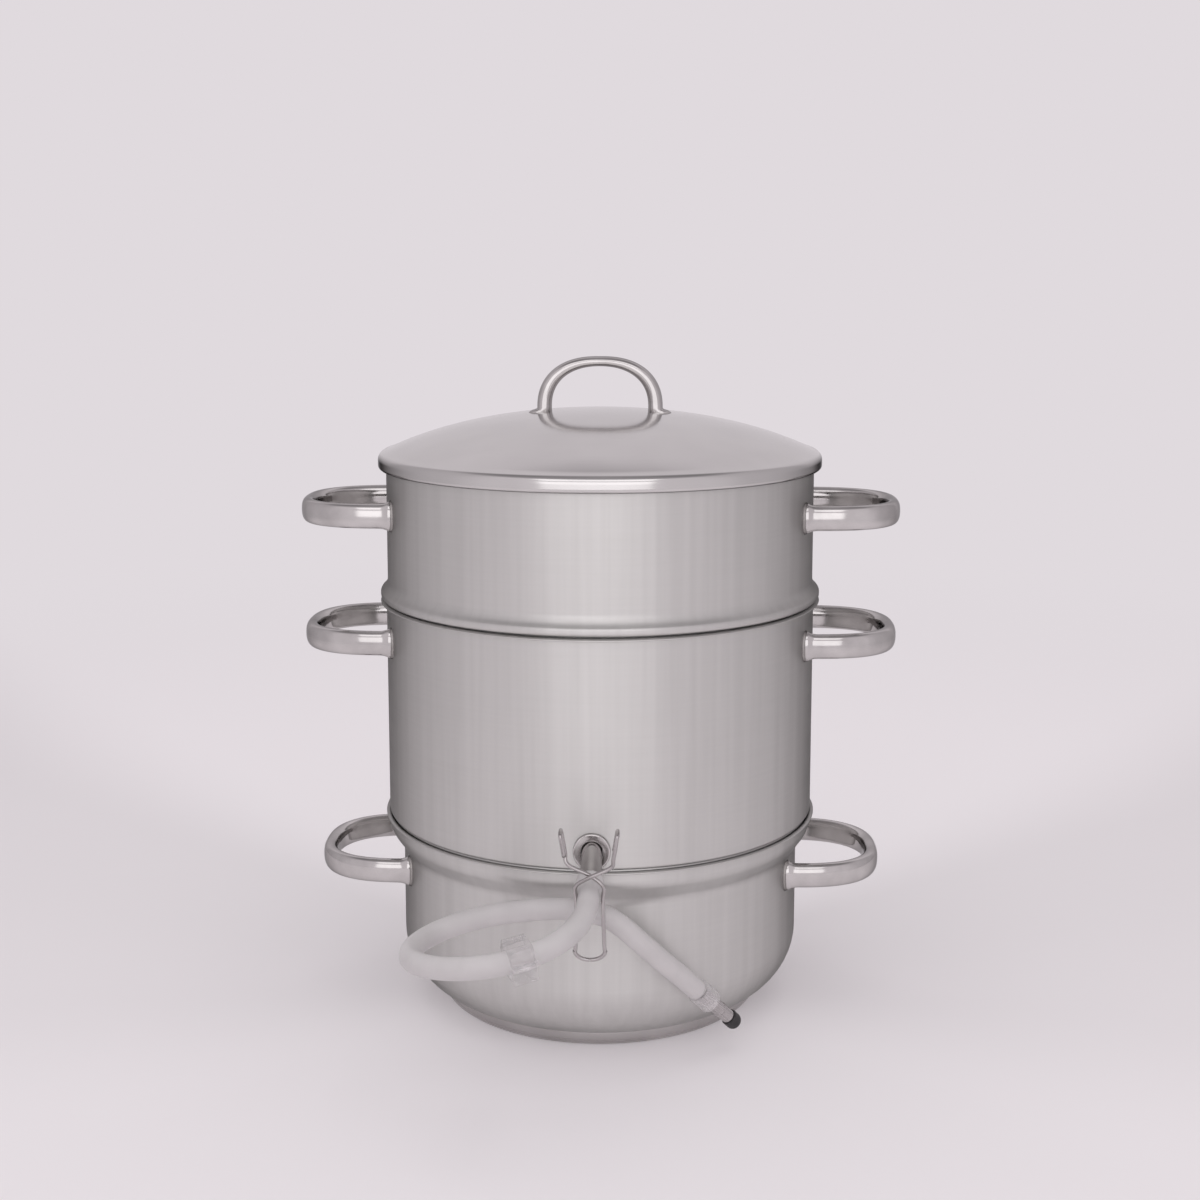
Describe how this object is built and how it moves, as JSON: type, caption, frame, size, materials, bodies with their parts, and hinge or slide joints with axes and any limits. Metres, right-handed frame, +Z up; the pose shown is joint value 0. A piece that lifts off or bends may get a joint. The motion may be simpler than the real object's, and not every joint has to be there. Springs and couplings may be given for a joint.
{
  "type": "steam juicer",
  "caption": "Stacked steam juicer: water pot, juice kettle with spout and hose, perforated fruit basket and domed lid, with loop handles.",
  "frame": {"origin": "on the floor under the pot's axis, at the flat underside of the base", "axes": "+Z up the stack's axis, -Y the front with the juice spout, the side handles along X"},
  "size_m": [0.362, 0.3614, 0.3926],
  "materials": {
    "satin_steel": "satin",
    "polished_steel": "polished",
    "core_aluminium": "cast",
    "clear_silicone": "translucent",
    "clear_plastic": "clear",
    "dark_rubber": "matte"
  },
  "bodies": {
    "pot": {"pot_shell": "satin_steel", "pot_wall": "satin_steel", "pot_rim": "satin_steel", "base_core": "core_aluminium", "base_cap": "satin_steel", "pot_handle_left": "polished_steel", "pot_handle_right": "polished_steel"},
    "kettle": {"kettle_shell": "satin_steel", "kettle_floor": "satin_steel", "steam_cone": "satin_steel", "spout_tube": "polished_steel", "spout_collar": "polished_steel", "kettle_handle_left": "polished_steel", "kettle_handle_right": "polished_steel", "juice_hose": "clear_silicone", "nozzle_sleeve": "clear_silicone", "nozzle_tube": "polished_steel", "nozzle_tip": "dark_rubber", "pinch_clip_fixed_lever": "polished_steel", "clamp_cradle": "clear_plastic", "clamp_pin": "polished_steel"},
    "basket": {"basket_shell": "satin_steel", "strainer_plate": "satin_steel", "basket_handle_left": "polished_steel", "basket_handle_right": "polished_steel"},
    "lid": {"lid_shell": "polished_steel", "lid_handle": "polished_steel"},
    "clip_lever": {"pinch_clip_moving_lever": "polished_steel"},
    "clamp_lever": {"clamp_jaw": "clear_plastic"}
  },
  "joints": [
    {"name": "kettle_lift", "type": "slide", "parent": "pot", "child": "kettle", "axis": [0, 0, 1], "range_m": [0, 0.02]},
    {"name": "basket_lift", "type": "slide", "parent": "kettle", "child": "basket", "axis": [0, 0, 1], "range_m": [0, 0.09]},
    {"name": "lid_lift", "type": "slide", "parent": "basket", "child": "lid", "axis": [0, 0, 1], "range_m": [0, 0.03]},
    {"name": "pinch_clip_squeeze", "type": "hinge", "parent": "kettle", "child": "clip_lever", "pos_m": [0, -0.15403, 0.07554], "axis": [0, -0.9848, -0.1736], "range_deg": [0, 8], "stiffness_Nm_per_rad": 0.3, "springref_deg": -2.86},
    {"name": "clamp_jaw_hinge", "type": "hinge", "parent": "kettle", "child": "clamp_lever", "pos_m": [-0.03752, -0.20109, 0.09889], "axis": [-0.9253, -0.3403, -0.1672], "range_deg": [0, 60]}
  ]
}
